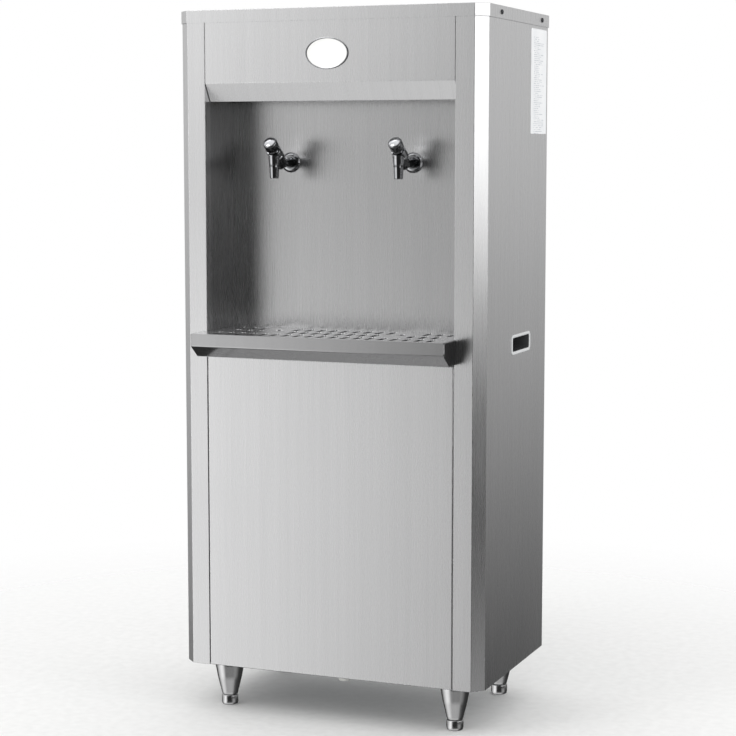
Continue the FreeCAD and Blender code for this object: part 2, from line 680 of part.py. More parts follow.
def tap_rosette(side, name):
    """The domed wall flange round the shank."""
    ring = turned([
        (f"shank_radius + {PRESS}", "0"), ("rosette_radius", "0"), ("rosette_radius", "1"),
        ("rosette_radius - 3", "rosette_thick - 0.6"), ("shank_radius + 2", "rosette_thick"),
        (f"shank_radius + {PRESS}", "rosette_thick"),
    ])
    at = (f"{side} * tap_spacing / 2", ALCOVE_BACK, "tap_level")
    piece(f"{name}_tap_rosette", place(ring, at, (1, 0, 0), "90"))


def tap_lock_nut(side, name):
    at = (f"{side} * tap_spacing / 2", f"{ALCOVE_BACK} + sheet", "tap_level")
    prism = place(hexagon("shank_radius * 1.7", "lock_nut_rise"), at, (1, 0, 0), "-90")
    bore = rod(at, "lock_nut_rise", f"shank_radius + {PRESS}", "y")
    piece(f"{name}_tap_lock_nut", cut(prism, bore))


def taps():
    for side, name in ((-1, "left"), (1, "right")):
        tap_body(side, name)
        tap_nozzle(side, name)
        tap_button(side, name)
        tap_rosette(side, name)
        tap_lock_nut(side, name)


def tap_feed_pipes():
    """Short elbows from the shanks' tails into the tank's sides."""
    pipes = []
    for side in (-1, 1):
        start = number(f"{ALCOVE_BACK} + sheet + shank_tail")
        middle = number(TANK_Y)
        x = side * number("tap_spacing / 2")
        wall = side * number("sqrt(tank_radius ^ 2 - 8 ^ 2) + 1.5")
        level = number("tap_level")
        corners = [(x, start, level), (x, middle, level), (wall, middle, level)]
        pipes.append(shaped(bent_tube(corners, number("feed_radius"), number("feed_bend"))))
    piece("tap_feed_pipes", gather(*pipes))


# ---------------------------------------------------------------- handles, label
def side_handle():
    """A recessed hand pocket with a rim that laps the side panel."""
    low_y = f"{HANDLE_Y} - handle_width / 2"
    low_z = "handle_level - handle_rise / 2"
    rim = block((HALF, low_y, low_z), ("rim_proud", "handle_width", "handle_rise"))
    cup = block((f"{HALF} - handle_pocket", f"{low_y} + handle_rim", f"{low_z} + handle_rim"),
                ("handle_pocket + 0.5", "handle_width - 2 * handle_rim", "handle_rise - 2 * handle_rim"))
    hollow = block((f"{HALF} - handle_pocket + handle_wall", f"{low_y} + handle_rim + handle_wall",
                    f"{low_z} + handle_rim + handle_wall"),
                   ("handle_pocket + 5", "handle_width - 2 * handle_rim - 2 * handle_wall",
                    "handle_rise - 2 * handle_rim - 2 * handle_wall"))
    return cut(fuse(rim, cup), hollow)


def side_fittings():
    piece("right_side_handle", side_handle())
    piece("left_side_handle", mirrored(side_handle()))
    piece("rating_label", block((HALF, f"{REAR} - label_inset - label_width", "label_level"),
                                ("label_thick", "label_width", "label_rise")))


# ---------------------------------------------------------------- tank
def water_tank():
    outer = rod(("0", TANK_Y, "tank_level"), "tank_rise", "tank_radius")
    inner = rod(("0", TANK_Y, "tank_level + tank_wall"), "tank_rise", "tank_radius - tank_wall")
    piece("water_tank", cut(outer, inner))
    plate = rod(("0", TANK_Y, TANK_TOP), "3", "tank_radius + 3")
    hole = rod(("0", VALVE_Y, f"{TANK_TOP} - 1"), "6", "7 + lap")
    piece("tank_lid", cut(plate, hole))


def tank_insulation():
    inside = "(tank_radius + 2 * coil_tube + 2 * lap)"
    outer = rod(("0", TANK_Y, "tank_level"), "tank_rise - 5", f"{inside} + foam_wall")
    inner = rod(("0", TANK_Y, "tank_level - 1"), "tank_rise + 2", inside)
    gap = "(feed_radius + 2)"
    notch = slab(f"{inside} + foam_wall + 5", (f"{TANK_Y} - tank_radius * 0.7", f"{TANK_Y} + {gap}"),
                 (f"tap_level - {gap}", f"tap_level + {gap}"))
    piece("tank_insulation", cut(outer, inner, notch))


def evaporator_coil():
    """Cold rings round the tank under the foam, joined by a short riser on alternate sides."""
    radius = "(tank_radius + coil_tube + lap)"
    low = "(tap_level + 40)"
    parts = []
    for turn in range(int(number("coil_turns"))):
        ring = doc.addObject("Part::Torus", "ring")
        ring.setExpression("Radius1", bound(radius))
        ring.setExpression("Radius2", bound("coil_tube"))
        parts.append(place(ring, ("0", TANK_Y, f"{low} + {turn} * coil_pitch")))
        if turn:
            side = 1 if turn % 2 else -1
            parts.append(rod((f"{side} * {radius}", TANK_Y, f"{low} + {turn - 1} * coil_pitch"),
                             "coil_pitch", "coil_tube * 0.8"))
    piece("evaporator_coil", fuse(*parts))


VALVE_Y = f"({TANK_Y} - 48)"
PIVOT_Z = f"({TANK_TOP} - pivot_drop)"


def float_valve():
    """Inlet stem through the tank's lid, with two ears that hold the float's pin."""
    stem = rod(("0", VALVE_Y, f"{PIVOT_Z} + 6"), "pivot_drop + 16", "7")
    flange = rod(("0", VALVE_Y, f"{TANK_TOP} - 3.3"), "3", "12")
    ears = [block((x, f"{VALVE_Y} - 5", f"{PIVOT_Z} - 5"), ("2", "10", "14")) for x in ("-5", "3")]
    pin = rod(("-5", VALVE_Y, PIVOT_Z), "10", "pivot_radius", "x")
    piece("float_valve", fuse(stem, flange, pin, *ears))


def arm_point(along):
    return ("0", f"{VALVE_Y} + ({along}) * cos(float_droop)", f"{PIVOT_Z} - ({along}) * sin(float_droop)")


def float_arm():
    eye = rod(("-2.6", VALVE_Y, PIVOT_Z), "5.2", "4.5", "x")
    rod_out = doc.addObject("Part::Cylinder", "rod")
    rod_out.setExpression("Radius", bound("1.8"))
    rod_out.setExpression("Height", bound("float_arm - 3"))
    place(rod_out, arm_point("3"), (1, 0, 0), "-90 - float_droop")
    bore = rod(("-4", VALVE_Y, PIVOT_Z), "8", f"pivot_radius + {PRESS}", "x")
    piece("float_arm", cut(fuse(eye, rod_out), bore))
    ball = doc.addObject("Part::Sphere", "ball")
    ball.setExpression("Radius", bound("float_radius"))
    place(ball, arm_point("float_arm + float_radius"))
    piece("float_ball", ball)


# ---------------------------------------------------------------- cooling set
POT_Y = f"({FRONT} + pot_back)"
FAN_X = "-fan_side"
CORE_Y = f"({BACK_INNER} - core_gap - core_depth)"
CORE_Z = f"({BASE_TOP} + core_lift)"


def compressor():
    """A welded pot on its foot plate, standing on four rubber grommets."""
    pot = place(turned([
        ("0", "0"), ("pot_radius - 14", "0"), ("pot_radius", "12"), ("pot_radius", "pot_rise * 0.52"),
        ("pot_radius + 3", "pot_rise * 0.52"), ("pot_radius + 3", "pot_rise * 0.52 + 6"),
        ("pot_radius", "pot_rise * 0.52 + 6"), ("pot_radius", "pot_rise - 30"),
        ("pot_radius - 16", "pot_rise - 8"), ("pot_radius - 36", "pot_rise"), ("0", "pot_rise"),
    ]), ("pot_side", POT_Y, f"{BASE_TOP} + mount_rise + 3"))
    cavity = rod(("pot_side", POT_Y, f"{BASE_TOP} + mount_rise + 9"), "pot_rise - 30",
                 "pot_radius - pot_wall")
    plate = block(("pot_side - pot_radius", f"{POT_Y} - pot_radius", f"{BASE_TOP} + mount_rise"),
                  ("2 * pot_radius", "2 * pot_radius", "3.2"))
    corners = [(f"pot_side + {sx} * (pot_radius - 12)", f"{POT_Y} + {sy} * (pot_radius - 12)")
               for sx in (-1, 1) for sy in (-1, 1)]
    holes = [rod((x, y, f"{BASE_TOP} + mount_rise - 1"), "6", "3 + lap") for x, y in corners]
    piece("compressor", cut(fuse(pot, plate), cavity, *holes))
    grommets = []
    for x, y in corners:
        base = rod((x, y, BASE_TOP), "mount_rise", "9")
        nose = rod((x, y, f"{BASE_TOP} + mount_rise"), "5", "3")
        grommets.append(fuse(base, nose))
    piece("compressor_mounts", gather(*grommets))


def condenser():
    """Serpentine rows of tube through upright fins, on two feet."""
    low_x = f"({FAN_X} - core_width / 2)"
    gaps, rows = 20, 7
    fins = [block((f"{low_x} + {step} * core_width / {gaps}", CORE_Y, CORE_Z),
                  ("1", "core_depth", "core_rise")) for step in range(gaps + 1)]
    tubes = [rod((f"{low_x} - 6", f"{CORE_Y} + core_depth * {share}",
                  f"{CORE_Z} + {row} * core_rise / {rows}"), "core_width + 13", "4", "x")
             for row in range(1, rows) for share in (0.28, 0.72)]
    feet = [block((f"{FAN_X} + {side} * core_width * 0.35 - 8", CORE_Y, BASE_TOP),
                  ("16", "core_depth", "core_lift + 1")) for side in (-1, 1)]
    piece("condenser", fuse(*fins, *tubes, *feet))


FAN_Z = f"({CORE_Z} + core_rise / 2)"
SHROUD_Y = f"({CORE_Y} - 40)"
MOTOR_Y = f"({SHROUD_Y} - 34 - motor_length)"


def fan_set():
    """Shroud, motor and blade in front of the condenser, blowing rearwards."""
    half = "(core_width / 2)"
    frame_box = block((f"{FAN_X} - {half}", SHROUD_Y, CORE_Z), ("core_width", "39.7", "core_rise"))
    inside = block((f"{FAN_X} - {half} + 1.5", f"{SHROUD_Y} + 1.5", f"{CORE_Z} + 1.5"),
                   ("core_width - 3", "40", "core_rise - 3"))
    hole = rod((FAN_X, f"{SHROUD_Y} - 2", FAN_Z), "6", "fan_radius + 5", "y")
    feet = block((f"{FAN_X} - {half}", SHROUD_Y, BASE_TOP), ("core_width", "1.5", "core_lift + 0.5"))
    arms = [block((f"{FAN_X} + {side} * (fan_radius + 8) - 4", f"{MOTOR_Y} + 6", f"{FAN_Z} - 8"),
                  ("8", f"{SHROUD_Y} - {MOTOR_Y} - 5", "16")) for side in (-1, 1)]
    strap = block((f"{FAN_X} - fan_radius - 12", f"{MOTOR_Y} + 6", f"{FAN_Z} - 8"),
                  ("2 * fan_radius + 24", "2", "16"))
    seat = rod((FAN_X, f"{MOTOR_Y} + 4", FAN_Z), "8", "motor_radius + lap", "y")
    shroud = cut(fuse(cut(frame_box, inside, hole), feet, *arms, strap), seat)
    piece("fan_shroud", shroud)
    motor = rod((FAN_X, MOTOR_Y, FAN_Z), "motor_length", "motor_radius", "y")
    shaft = rod((FAN_X, f"{MOTOR_Y} + motor_length - 1", FAN_Z), "27", "fan_shaft", "y")
    piece("fan_motor", fuse(motor, shaft))
    hub_y = f"({MOTOR_Y} + motor_length + 6)"
    hub = rod((FAN_X, hub_y, FAN_Z), "18", "fan_hub", "y")
    blades = []
    count = int(number("fan_blades"))
    for step in range(count):
        blade = block(("0", "0", "0"), ("2", "30", "fan_radius - 14"))
        spin = FreeCAD.Rotation(V(0, 1, 0), step * 360 / count)
        pitch = FreeCAD.Rotation(V(0, 0, 1), 52)
        blade.Placement.Rotation = spin.multiply(pitch)
        offset = spin.multVec(V(0, 0, 14) + pitch.multVec(V(-1, -15, 0)))
        place(blade, (f"{FAN_X} + {offset.x:.6f}", f"{hub_y} + 9 + {offset.y:.6f}",
                      f"{FAN_Z} + {offset.z:.6f}"))
        blades.append(blade)
    bore = rod((FAN_X, f"{hub_y} - 1", FAN_Z), "24", f"fan_shaft + {PRESS}", "y")
    piece("fan_blade", cut(fuse(hub, *blades), bore))


# ---------------------------------------------------------------- services on the back
def water_inlet():
    """A flanged hose fitting through the back panel, held by a nut inside."""
    end = f"({FRONT} + cabinet_depth + rear_reach)"
    stem = rod(("inlet_side", f"{OUTER} - 34", INLET_Z), "34 + inlet_flange", INLET_STEM, "y")
    flange = rod(("inlet_side", OUTER, INLET_Z), "inlet_flange", "inlet_radius + 5", "y")
    spigot = rod(("inlet_side", OUTER, INLET_Z), f"{end} - {OUTER}", "inlet_radius", "y")
    nut = rod(("inlet_side", f"{BACK_INNER} - 5", INLET_Z), "5", "inlet_radius + 5", "y")
    bore = rod(("inlet_side", f"{OUTER} - 35", INLET_Z), "90", "inlet_radius - 3.5", "y")
    piece("inlet_connector", cut(fuse(stem, flange, spigot, nut), bore))


def thermostat():
    middle = ("knob_side", "control_level")
    box = centred_block(middle, (f"{BACK_INNER} - 30", "30"), ("40", "36"))
    shaft = rod((middle[0], f"{BACK_INNER} - 1", middle[1]), "16", "shaft_radius", "y")
    piece("thermostat", fuse(box, shaft))
    knob = rod((middle[0], f"{OUTER} + 0.5", middle[1]), "13", "knob_radius", "y")
    rib = centred_block(middle, (f"{OUTER} + 13", "3"), ("4", "2 * knob_radius - 4"))
    bore = rod((middle[0], f"{OUTER} - 1", middle[1]), "15.5", f"shaft_radius + {PRESS}", "y")
    piece("thermostat_knob", cut(fuse(knob, rib), bore))


def power_switch():
    """A framed well through the back panel with the rocker's pin across it."""
    middle = ("switch_side", "control_level")
    frame = centred_block(middle, (OUTER, "2"), ("switch_width", "switch_rise"))
    shell = centred_block(middle, (f"{OUTER} - 22", "22.5"), ("switch_width - 4.6", "switch_rise - 4.6"))
    well = centred_block(middle, (f"{OUTER} - 14", "30"), ("switch_width - 8.6", "switch_rise - 8.6"))
    pin = rod(("switch_side - 9", f"{OUTER} - 4", "control_level"), "18", "1.5", "x")
    piece("power_switch", fuse(cut(fuse(frame, shell), well), pin))


def rocker():
    """A shallow V in side view that tips on its pin, standing at its off end."""
    points = [("-3", "0"), ("-1.5", "-10"), ("7.6", "-10.6"), ("5.6", "0"), ("7.6", "10.6"),
              ("-1.5", "10")]
    wedge = padded("YZ_Plane", points, "14.8", "-7.4")
    pin_hole = rod(("-8", "0", "0"), "16", f"1.5 + {PRESS}", "x")
    at = ("switch_side", f"{OUTER} - 4", "control_level")
    piece("switch_rocker", place(cut(wedge, pin_hole), at, (1, 0, 0), "rocker_tilt"))


def cable_gland():
    gland = rod(("gland_side", f"{OUTER} - 20", GLAND_Z), "34", "gland_radius", "y")
    nut = rod(("gland_side", OUTER, GLAND_Z), "10", "gland_radius + 3", "y")
    inner_nut = rod(("gland_side", f"{BACK_INNER} - 5", GLAND_Z), "5", "gland_radius + 3", "y")
    hole = rod(("gland_side", f"{OUTER} - 21", GLAND_Z), "40", "gland_bore", "y")
    piece("cable_gland", cut(fuse(gland, nut, inner_nut), hole))


# ---------------------------------------------------------------- build, test and write
def build():
    top_lid()
    side_panels()
    upper_fascia()
    oval_badge()
    alcove_liner()
    lower_front_panel()
    base_pan()
    back_panel()
    cabinet_screws()
    tank_shelf()
    legs()
    leg_nuts()
    drip_tray()
    drip_grille()
    drain_parts()
    taps()
    tap_feed_pipes()
    side_fittings()
    water_tank()
    tank_insulation()
    evaporator_coil()
    float_valve()
    float_arm()
    compressor()
    condenser()
    fan_set()
    water_inlet()
    thermostat()
    power_switch()
    rocker()
    cable_gland()
    doc.recompute()


def check():
    """Stops on any failed feature and on any sub-part without a valid shape."""
    for thing in doc.Objects:
        faults = {"Invalid", "Error"} & set(thing.State)
        if faults:
            raise RuntimeError(f"{thing.Name} ({thing.Label}) is {faults}")
    for thing in pieces:
        if thing.Shape.isNull() or not thing.Shape.isValid():
            raise RuntimeError(f"{thing.Label} has no valid shape")


def write():
    os.makedirs("parts", exist_ok=True)
    for thing in pieces:
        thing.Shape.exportStep(f"parts/{thing.Label}.step")
        print(thing.Label, len(thing.Shape.Solids), round(thing.Shape.Volume))


build()
check()
write()
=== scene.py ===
# %% [markdown]
# A floor-standing drinking-water cooler. The cabinet is folded from thin stainless sheet with a
# vertical satin grain. Two chrome push taps stand in a recessed alcove over a drip tray, and the
# whole stands on four turned bullet legs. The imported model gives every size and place, so the
# first step is to load it and to keep its overall box.

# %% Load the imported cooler
import json
import math

import bmesh
import bpy
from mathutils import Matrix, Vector


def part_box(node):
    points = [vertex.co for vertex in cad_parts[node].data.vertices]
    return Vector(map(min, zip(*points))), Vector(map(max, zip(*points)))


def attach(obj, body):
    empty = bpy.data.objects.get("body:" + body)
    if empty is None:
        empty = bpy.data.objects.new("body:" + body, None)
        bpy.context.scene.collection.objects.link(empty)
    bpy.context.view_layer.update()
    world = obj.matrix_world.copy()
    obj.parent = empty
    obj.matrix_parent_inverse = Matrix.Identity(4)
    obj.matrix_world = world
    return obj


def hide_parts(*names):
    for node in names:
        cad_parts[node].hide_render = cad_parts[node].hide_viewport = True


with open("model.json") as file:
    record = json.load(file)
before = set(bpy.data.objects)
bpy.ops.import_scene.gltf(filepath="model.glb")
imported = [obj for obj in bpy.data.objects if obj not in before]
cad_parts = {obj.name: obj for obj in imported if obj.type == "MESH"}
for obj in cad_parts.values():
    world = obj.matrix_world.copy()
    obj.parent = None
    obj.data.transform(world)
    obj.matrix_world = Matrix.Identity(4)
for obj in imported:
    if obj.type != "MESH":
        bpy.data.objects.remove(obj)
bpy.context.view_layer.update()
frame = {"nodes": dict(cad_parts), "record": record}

scene = bpy.context.scene

# %% [markdown]
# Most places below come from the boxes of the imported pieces. MM turns a workshop size into
# Blender's metres, and two short functions give the lower and upper corner of a piece's box.

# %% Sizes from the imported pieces
MM = 0.001


def low(node):
    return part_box(node)[0]


def high(node):
    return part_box(node)[1]


print("width", round(high("top_lid").x - low("top_lid").x, 4), "height", round(high("top_lid").z, 4))

# %% [markdown]
# The camera stands to the right of the cooler and a little above its middle, looking slightly
# left and down, with a long lens so that the uprights stay nearly parallel. A bare camera object
# with a position and two angles is enough, and it needs no lens shift.

# %% Camera
LENS = 96
camera_data = bpy.data.cameras.new("camera")
camera_data.lens = LENS
camera_data.sensor_width = 36
camera = bpy.data.objects.new("camera", camera_data)
scene.collection.objects.link(camera)
camera.location = (1.251, -3.087, 0.953)
camera.rotation_euler = (math.radians(90 - 6.36), 0, math.radians(21.90))
scene.camera = camera
scene.view_settings.view_transform = "Standard"

# %% [markdown]
# Finishes are given as sRGB hex codes, and one function turns them into the linear values that
# Blender wants. The other helpers keep the shader trees short: one adds a node with its settings
# and links, and the rest wrap the few nodes that nearly every finish needs.


# %% Colour and node helpers
def colour(code):
    """A linear RGBA colour from an sRGB hex code such as #c8c8c8."""
    parts = [int(code[place:place + 2], 16) / 255 for place in (1, 3, 5)]
    linear = [c / 12.92 if c <= 0.04045 else ((c + 0.055) / 1.055) ** 2.4 for c in parts]
    return (*linear, 1.0)


def add_node(tree, kind, settings=None, **inputs):
    """Adds a node, sets its own properties, and sets or links its inputs by name."""
    node = tree.nodes.new(kind)
    for name, value in (settings or {}).items():
        setattr(node, name, value)
    for name, value in inputs.items():
        key = name.replace("_", " ")
        socket = next((s for s in node.inputs if s.name == key and s.enabled), None)
        if socket is None:
            socket = node.inputs[int(name.strip("i"))]
        if isinstance(value, bpy.types.NodeSocket):
            tree.links.new(value, socket)
        else:
            socket.default_value = value
    return node


def ramp(tree, factor, stops, mode="LINEAR"):
    """A colour ramp through (position, colour) stops."""
    node = add_node(tree, "ShaderNodeValToRGB", None, Fac=factor)
    node.color_ramp.interpolation = mode
    while len(node.color_ramp.elements) < len(stops):
        node.color_ramp.elements.new(0.5)
    for element, (place, shade) in zip(node.color_ramp.elements, stops):
        element.position = place
        element.color = shade
    return node.outputs["Color"]


def grey(value):
    return (value, value, value, 1.0)


def span(tree, value, start, end, low_out=0.0, high_out=1.0):
    """Maps a value smoothly from one range to another."""
    node = add_node(tree, "ShaderNodeMapRange", {"interpolation_type": "SMOOTHSTEP"},
                    Value=value, From_Min=start, From_Max=end, To_Min=low_out, To_Max=high_out)
    return node.outputs["Result"]


def blend_values(tree, factor, first, second):
    node = add_node(tree, "ShaderNodeMix", {"data_type": "FLOAT"}, Factor=factor, A=first, B=second)
    return node.outputs[0]


def calculate(tree, operation, first, second=0.0):
    node = add_node(tree, "ShaderNodeMath", {"operation": operation}, i0=first, i1=second)
    return node.outputs["Value"]


# %% [markdown]
# Brushed steel shows what stands round it, so the light is mostly a soft surround: bright to the
# left and above, darker behind and below on the right. It is drawn as a smooth blend of the
# direction's X, Y and Z. Only mirrored rays see it. The camera itself, and matt paint, see plain
# white, so the backdrop stays pale whatever the steel is shown.

# %% Soft surround
LEFT_WALL = 1.65
FRONT_GAP = 0.03
RIGHT_WALL = 2.0
BACK_WALL = 0.66
DARK_GROUND = 0.05
PALE_GROUND = 0.5
UNDERFOOT = 0.06
FRONT_FLOOR = 0.75
HORIZON_BAND = 0.64
CEILING_LIGHT = 0.9
LEFT_WALL_EDGE = (-0.57, -0.19)
FAR_LEFT_FADE = (-0.97, -0.70)
FAR_LEFT_LIGHT = 0.45
HORIZON_DROP = 0.015
HORIZON_WIDTH = 0.05
BACK_SLOPE = (-0.33, 0.08)
RIGHT_WALL_FOOT = (-0.085, -0.015)
RIGHT_GROUND_EDGE = (-0.30, -0.20)
FRONT_TO_RIGHT = (0.66, 0.90)
FRONT_TO_BACK = (-0.15, 0.45)
FLOOR_TO_UNDERFOOT = (-0.30, 0.0)
FLOOR_EDGE = (-0.75, -0.45)
CEILING_SHADE = (-0.05, 0.35)
CEILING_EDGE = (0.25, 0.60)

world = bpy.data.worlds.new("studio surround")
scene.world = world
world.use_nodes = True
sky = world.node_tree
sky.nodes.clear()
direction = add_node(sky, "ShaderNodeTexCoord").outputs["Generated"]
parts = add_node(sky, "ShaderNodeSeparateXYZ", None, Vector=direction)
x, y, z = parts.outputs["X"], parts.outputs["Y"], parts.outputs["Z"]
front = span(sky, x, *LEFT_WALL_EDGE, LEFT_WALL, FRONT_GAP)
off_horizon = calculate(sky, "ABSOLUTE", calculate(sky, "ADD", z, HORIZON_DROP))
band = span(sky, off_horizon, 0.0, HORIZON_WIDTH, HORIZON_BAND, 1.0)
front = calculate(sky, "MULTIPLY", front, band)
far_left = span(sky, x, *FAR_LEFT_FADE, FAR_LEFT_LIGHT, 1.0)
front = calculate(sky, "MULTIPLY", front, far_left)
back = span(sky, z, *BACK_SLOPE, DARK_GROUND, BACK_WALL)
right_wall = span(sky, z, *RIGHT_WALL_FOOT, DARK_GROUND, RIGHT_WALL)
right_ground = span(sky, z, *RIGHT_GROUND_EDGE, PALE_GROUND, 0.0)
right = calculate(sky, "MAXIMUM", right_wall, right_ground)
around = blend_values(sky, span(sky, x, *FRONT_TO_RIGHT), front, right)
around = blend_values(sky, span(sky, y, *FRONT_TO_BACK), around, back)
underfoot = span(sky, y, *FLOOR_TO_UNDERFOOT, FRONT_FLOOR, UNDERFOOT)
around = blend_values(sky, span(sky, z, *FLOOR_EDGE, 1.0, 0.0), around, underfoot)
overhead = span(sky, x, *CEILING_SHADE, CEILING_LIGHT, UNDERFOOT)
around = blend_values(sky, span(sky, z, *CEILING_EDGE), around, overhead)
surround = add_node(sky, "ShaderNodeBackground", None, Color=(1, 1, 1, 1), Strength=around)
plain = add_node(sky, "ShaderNodeBackground", None, Color=(1, 1, 1, 1), Strength=1.0)
rays = add_node(sky, "ShaderNodeLightPath").outputs
seen = calculate(sky, "MAXIMUM", rays["Is Camera Ray"], rays["Is Diffuse Ray"])
both = add_node(sky, "ShaderNodeMixShader", None,
                i0=seen, i1=surround.outputs[0], i2=plain.outputs[0])
print("surround nodes", len(sky.nodes))
add_node(sky, "ShaderNodeOutputWorld", None, Surface=both.outputs[0])

# %% [markdown]
# One large soft lamp overhead and to the left gives the round chrome parts their highlights and
# puts a faint shadow under the cabinet. The floor is a pale round sheet that thins out towards
# its rim, so it melts into the white round it without a horizon line.
# Steel sees the surround through it, which keeps the low reflections as dark as drawn.


# %% Lamp and floor
def area_lamp(name, place, target, size, power):
    data = bpy.data.lights.new(name, "AREA")
    data.shape = "DISK"
    data.size = size
    data.energy = power
    lamp = bpy.data.objects.new(name, data)
    scene.collection.objects.link(lamp)
    lamp.location = place
    lamp.rotation_euler = (Vector(target) - Vector(place)).to_track_quat("-Z", "Y").to_euler()


area_lamp("key_lamp", (-1.4, -2.2, 2.9), (0, 0, 0.6), 1.4, 14)
area_lamp("rim_lamp", (2.2, -0.4, 2.2), (0, 0, 0.8), 0.9, 5)

FLOOR_RADIUS = 1.6
FLOOR_FADE_START = 0.45


def floor_material():
    material = bpy.data.materials.new("matt white studio floor")
    material.use_nodes = True
    tree = material.node_tree
    tree.nodes.clear()
    place = add_node(tree, "ShaderNodeTexCoord").outputs["Object"]
    distance = add_node(tree, "ShaderNodeVectorMath", {"operation": "LENGTH"}, Vector=place)
    fade = span(tree, distance.outputs["Value"], FLOOR_FADE_START, FLOOR_RADIUS * 0.95)
    mirrored_ray = add_node(tree, "ShaderNodeLightPath").outputs["Is Glossy Ray"]
    fade = calculate(tree, "MAXIMUM", fade, mirrored_ray)
    speckle = add_node(tree, "ShaderNodeTexNoise", None, Vector=place, Scale=60.0, Detail=3.0)
    tone = ramp(tree, speckle.outputs["Fac"], [(0.3, colour("#f4f4f3")), (0.7, colour("#fbfbfa"))])
    matt = add_node(tree, "ShaderNodeBsdfPrincipled", None, Base_Color=tone, Roughness=0.8)
    clear = add_node(tree, "ShaderNodeBsdfTransparent")
    mix = add_node(tree, "ShaderNodeMixShader", None, i0=fade, i1=matt.outputs[0], i2=clear.outputs[0])
    add_node(tree, "ShaderNodeOutputMaterial", None, Surface=mix.outputs[0])
    return material


floor_mesh = bpy.data.meshes.new("studio_floor")
floor_bm = bmesh.new()
bmesh.ops.create_circle(floor_bm, cap_ends=True, radius=FLOOR_RADIUS, segments=96)
floor_bm.to_mesh(floor_mesh)
floor_bm.free()
floor = bpy.data.objects.new("studio_floor", floor_mesh)
scene.collection.objects.link(floor)
floor_mesh.materials.append(floor_material())

# %% [markdown]
# Satin stainless steel is what the whole cabinet is made of. A belt drags fine scratches down
# the sheet, so reflections smear sideways while they stay sharper up and down: that is
# anisotropy, with the tangent running sideways. Each folded sheet gets a UV map in metres, U
# across the grain and V along it, and the grain is noise stretched 160 times along V.
# Real scratches are under 0.1 mm wide, so they are drawn about 0.8 mm wide to show at all.


# %% Satin stainless
GRAIN_WIDTH = 0.8 * MM
GRAIN_STRETCH = 160


def brushed_steel(name, tone="#dedede", roughness=0.27, smear=0.75, variation=0.014, grain=0.03):
    """Stainless sheet with a one-way satin grain that runs along V."""
    material = bpy.data.materials.new(name)
    material.use_nodes = True
    tree = material.node_tree
    tree.nodes.clear()
    coordinates = add_node(tree, "ShaderNodeTexCoord").outputs["UV"]
    stretch = (1.0, 1.0 / GRAIN_STRETCH, 1.0)
    grain_map = add_node(tree, "ShaderNodeMapping", None, Vector=coordinates, Scale=stretch).outputs[0]
    scratches = add_node(tree, "ShaderNodeTexNoise", None, Vector=grain_map,
                         Scale=1 / GRAIN_WIDTH, Detail=3.0, Roughness=0.65).outputs["Fac"]
    bands = add_node(tree, "ShaderNodeTexNoise", None, Vector=grain_map,
                     Scale=1 / (14 * GRAIN_WIDTH), Detail=2.0).outputs["Fac"]
    patches = add_node(tree, "ShaderNodeTexNoise", None, Vector=coordinates, Scale=3.0,
                       Detail=2.0).outputs["Fac"]
    base = colour(tone)[0]
    streaks = span(tree, scratches, 0.25, 0.75, base - variation, base + variation)
    wide = span(tree, bands, 0.3, 0.7, 0.985, 1.015)
    cloud = span(tree, patches, 0.3, 0.7, 0.985, 1.015)
    shade = calculate(tree, "MULTIPLY", calculate(tree, "MULTIPLY", streaks, wide), cloud)
    tint = add_node(tree, "ShaderNodeCombineColor", None, Red=shade, Green=shade,
                    Blue=calculate(tree, "MULTIPLY", shade, 1.006))
    polish = span(tree, scratches, 0.2, 0.8, roughness - 0.025, roughness + 0.03)
    polish = calculate(tree, "MULTIPLY", polish, span(tree, patches, 0.3, 0.7, 0.94, 1.06))
    bump = add_node(tree, "ShaderNodeBump", None, Strength=grain, Distance=0.00005, Height=scratches)
    steel = add_node(tree, "ShaderNodeBsdfPrincipled", None, Base_Color=tint.outputs[0], Metallic=1.0,
                     Roughness=polish, Normal=bump.outputs[0], Anisotropic=smear)
    sideways = add_node(tree, "ShaderNodeTangent", {"direction_type": "UV_MAP"})
    tree.links.new(sideways.outputs[0], steel.inputs["Tangent"])
    add_node(tree, "ShaderNodeOutputMaterial", None, Surface=steel.outputs[0])
    return material


cabinet_steel = brushed_steel("satin stainless sheet")
# Painted shade: the alcove sheet is the cabinet's stainless given a darker tone, standing in for the shade
# inside the recess.
alcove_steel_painted_shade = brushed_steel("alcove satin stainless sheet darkened as painted shade", tone="#c6c6c6", roughness=0.27)
tray_steel = brushed_steel("polished tray stainless", tone="#a4a4a4", roughness=0.14, smear=0.6)
grille_steel = brushed_steel("polished grille stainless", tone="#f2f2f2", roughness=0.24, smear=0.3)
tank_steel = brushed_steel("mill-finish tank stainless", tone="#c8c9ca", roughness=0.35, smear=0.4)
leg_steel = brushed_steel("turned leg stainless", tone="#c4c4c4", roughness=0.22, smear=0.5)

# %% [markdown]
# Every other finish is one of two kinds. A metal has a tinted reflection, a plastic or paint has
# a coloured body under a clear shine. In both, slow noise changes the roughness the way handling
# and wear do, and fine noise lifts the surface by a few hundredths of a millimetre.


